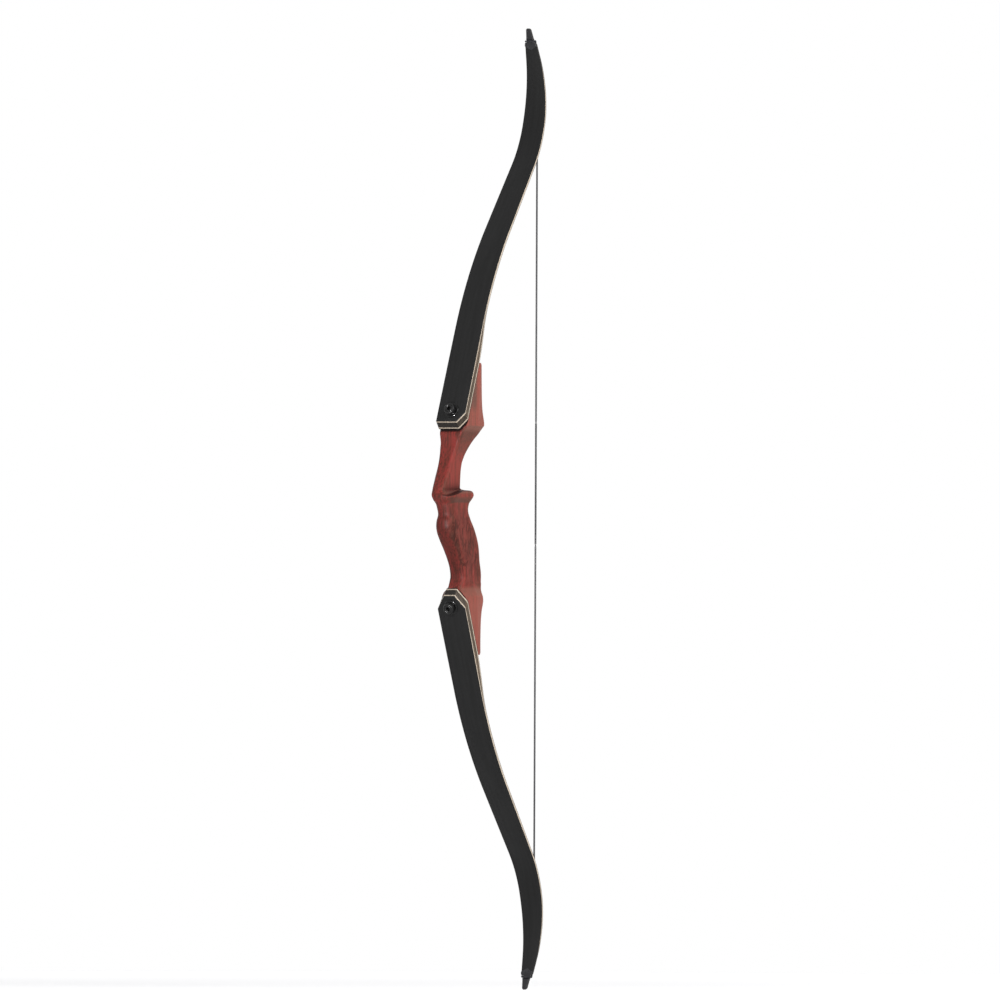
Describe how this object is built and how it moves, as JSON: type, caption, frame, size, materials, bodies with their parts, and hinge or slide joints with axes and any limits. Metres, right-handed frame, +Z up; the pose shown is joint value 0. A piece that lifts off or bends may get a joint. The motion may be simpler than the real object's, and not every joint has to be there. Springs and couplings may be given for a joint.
{
  "type": "takedown recurve bow",
  "caption": "Strung takedown recurve bow with a hardwood riser, laminated limbs on knob bolts, tip overlays and a served string; the limbs flex as it is drawn.",
  "frame": {"origin": "throat of the grip, on the side that faces the archer, in the plane of the string", "axes": "+Z up along the bow, -Y towards the target, +X towards the sight window and arrow shelf (the archer's left)"},
  "size_m": [0.0486, 0.2756, 1.4502],
  "materials": {
    "riser_wood": "oiled hardwood with a satin sheen",
    "limb_glass": "black glass-fibre laminate, satin",
    "pale_core": "pale maple, clear coated",
    "brown_wedge": "brown hardwood, clear coated",
    "black_metal": "black oxide with a soft gloss",
    "brass": "machined",
    "steel": "ground dowel",
    "overlay": "black phenolic, polished",
    "string": "waxed charcoal polyester strands",
    "serving": "tightly wound charcoal thread"
  },
  "bodies": {
    "handle": {"riser": "riser_wood", "upper_insert": "brass", "upper_locating_pin": "steel", "upper_root_back_glass": "limb_glass", "upper_root_back_lamination": "pale_core", "upper_wedge": "brown_wedge", "upper_root_belly_lamination": "pale_core", "upper_root_belly_glass": "limb_glass", "lower_insert": "brass", "lower_locating_pin": "steel", "lower_root_back_glass": "limb_glass", "lower_root_back_lamination": "pale_core", "lower_wedge": "brown_wedge", "lower_root_belly_lamination": "pale_core", "lower_root_belly_glass": "limb_glass"},
    "upper_limb": {"upper_back_glass": "limb_glass", "upper_back_lamination": "pale_core", "upper_belly_lamination": "pale_core", "upper_belly_glass": "limb_glass", "upper_tip_overlay": "overlay", "upper_loop": "serving"},
    "upper_string_half": {"upper_string": "string", "upper_end_serving": "serving", "upper_centre_serving": "serving"},
    "upper_washer_body": {"upper_washer": "black_metal"},
    "upper_bolt_body": {"upper_limb_bolt": "black_metal"},
    "lower_limb": {"lower_back_glass": "limb_glass", "lower_back_lamination": "pale_core", "lower_belly_lamination": "pale_core", "lower_belly_glass": "limb_glass", "lower_tip_overlay": "overlay", "lower_loop": "serving"},
    "lower_string_half": {"lower_string": "string", "lower_end_serving": "serving", "lower_centre_serving": "serving"},
    "lower_washer_body": {"lower_washer": "black_metal"},
    "lower_bolt_body": {"lower_limb_bolt": "black_metal"}
  },
  "joints": [
    {"name": "upper_limb_flex", "type": "hinge", "parent": "handle", "child": "upper_limb", "pos_m": [0, 0.03155, 0.30666], "axis": [-1, 0, 0], "range_deg": [0, 23.16], "stiffness_Nm_per_rad": 60, "springref_deg": -17.19},
    {"name": "upper_string_swing", "type": "hinge", "parent": "upper_limb", "child": "upper_string_half", "pos_m": [0, 0.19721, 0.67929], "axis": [1, 0, 0], "range_deg": [0, 54.08], "deforming": ["upper_string", "upper_end_serving", "upper_centre_serving"]},
    {"name": "upper_bolt_travel", "type": "slide", "parent": "handle", "child": "upper_washer_body", "axis": [0, -0.9367, 0.3502], "range_m": [0, 0.015]},
    {"name": "upper_bolt_turn", "type": "hinge", "parent": "upper_washer_body", "child": "upper_bolt_body", "pos_m": [0, -0.0343, 0.148], "axis": [0, -0.9367, 0.3502], "range_deg": [0, 4320.1]},
    {"name": "lower_limb_flex", "type": "hinge", "parent": "handle", "child": "lower_limb", "pos_m": [0, 0.03155, -0.30666], "axis": [1, 0, 0], "range_deg": [0, 21.69], "stiffness_Nm_per_rad": 60, "springref_deg": -17.19},
    {"name": "lower_string_swing", "type": "hinge", "parent": "lower_limb", "child": "lower_string_half", "pos_m": [0, 0.19721, -0.67929], "axis": [-1, 0, 0], "range_deg": [0, 49.67], "deforming": ["lower_string", "lower_end_serving", "lower_centre_serving"]},
    {"name": "lower_bolt_travel", "type": "slide", "parent": "handle", "child": "lower_washer_body", "axis": [0, -0.9367, -0.3502], "range_m": [0, 0.015]},
    {"name": "lower_bolt_turn", "type": "hinge", "parent": "lower_washer_body", "child": "lower_bolt_body", "pos_m": [0, -0.0343, -0.148], "axis": [0, -0.9367, -0.3502], "range_deg": [0, 4320.1]}
  ],
  "couplings": [
    {"joint": "upper_string_swing", "follows": "upper_limb_flex", "ratio": 2.3346},
    {"joint": "lower_limb_flex", "follows": "upper_limb_flex", "ratio": 0.93618},
    {"joint": "lower_string_swing", "follows": "upper_limb_flex", "ratio": 2.1441},
    {"joint": "upper_bolt_turn", "follows": "upper_bolt_travel", "rad_per_m": 5026.5},
    {"joint": "lower_bolt_turn", "follows": "lower_bolt_travel", "rad_per_m": 5026.5}
  ]
}
